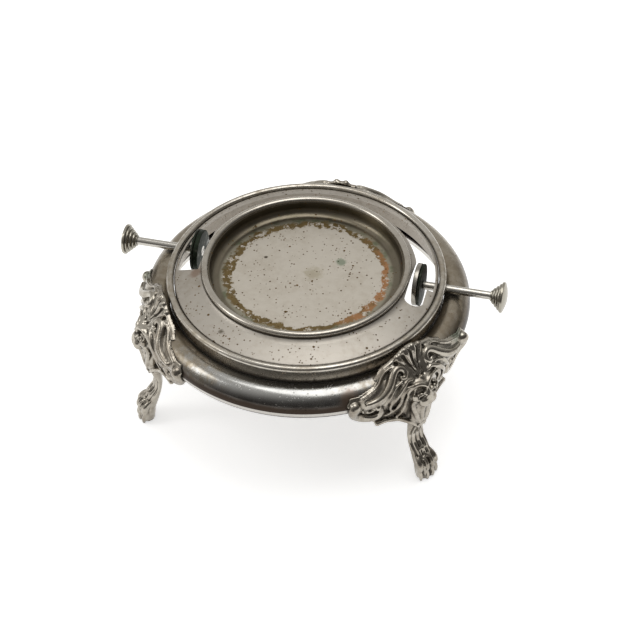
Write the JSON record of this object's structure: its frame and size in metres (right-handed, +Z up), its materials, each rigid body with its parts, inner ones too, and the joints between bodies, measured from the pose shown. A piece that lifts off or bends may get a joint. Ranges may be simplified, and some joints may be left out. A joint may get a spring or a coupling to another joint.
{
  "type": "roll-top serving dish stand",
  "caption": "Low round serving dish stand on cast paw legs, with a shallow well, a crescent opening and pivot pins with turned knobs.",
  "frame": {"origin": "on the ring's axis, in the plane of the paws' soles", "axes": "+Z up out of the well, +X along the right pin towards its knob, -Y the front, opposite the rear leg and the crescent opening"},
  "size_m": [0.206, 0.1798, 0.0871],
  "materials": {
    "body_shell": "worn silver plate, polished, with brown tarnish",
    "neck_collar": "brown tarnished plate",
    "top_bead": "worn silver plate, polished",
    "base_rim": "worn silver plate, polished",
    "ledge_plate": "satin, scratched silver plate with small pits",
    "dish_well": "satin silver plate, worn through to the brass in a ring",
    "dish_rim": "worn silver plate, polished",
    "leg_rear": "cast, silver plated, dark in the hollows, some verdigris",
    "leg_front_left": "cast, silver plated, dark in the hollows, some verdigris",
    "leg_front_right": "cast, silver plated, dark in the hollows, some verdigris",
    "left_bush": "turned, silver plated, dull",
    "left_outer_disc": "tarnished, dark, edges rubbed bright",
    "left_spindle": "turned, silver plated, dull",
    "left_knob": "turned, silver plated, dull",
    "left_inner_disc": "tarnished, dark, edges rubbed bright",
    "left_disc_screw": "tarnished, dark, edges rubbed bright",
    "right_bush": "turned, silver plated, dull",
    "right_outer_disc": "tarnished, dark, edges rubbed bright",
    "right_spindle": "turned, silver plated, dull",
    "right_knob": "turned, silver plated, dull",
    "right_inner_disc": "tarnished, dark, edges rubbed bright",
    "right_disc_screw": "tarnished, dark, edges rubbed bright"
  },
  "bodies": {
    "stand": {"body_shell": "body_shell", "neck_collar": "neck_collar", "top_bead": "top_bead", "base_rim": "base_rim", "ledge_plate": "ledge_plate", "dish_well": "dish_well", "dish_rim": "dish_rim", "leg_rear": "leg_rear", "leg_front_left": "leg_front_left", "leg_front_right": "leg_front_right", "left_bush": "left_bush", "right_bush": "right_bush"},
    "left_ear_disc": {"left_outer_disc": "left_outer_disc"},
    "left_pin": {"left_spindle": "left_spindle", "left_knob": "left_knob", "left_inner_disc": "left_inner_disc", "left_disc_screw": "left_disc_screw"},
    "right_ear_disc": {"right_outer_disc": "right_outer_disc"},
    "right_pin": {"right_spindle": "right_spindle", "right_knob": "right_knob", "right_inner_disc": "right_inner_disc", "right_disc_screw": "right_disc_screw"}
  },
  "joints": [
    {"name": "left_pin_slide", "type": "slide", "parent": "stand", "child": "left_ear_disc", "axis": [1, 0, 0], "range_m": [0, 0.0046]},
    {"name": "left_pin_turn", "type": "hinge", "parent": "left_ear_disc", "child": "left_pin", "pos_m": [0, 0.01, 0.07455], "axis": [1, 0, 0], "continuous": true},
    {"name": "right_pin_slide", "type": "slide", "parent": "stand", "child": "right_ear_disc", "axis": [1, 0, 0], "range_m": [-0.001, 0.0036]},
    {"name": "right_pin_turn", "type": "hinge", "parent": "right_ear_disc", "child": "right_pin", "pos_m": [0, 0.01, 0.07455], "axis": [1, 0, 0], "continuous": true}
  ]
}
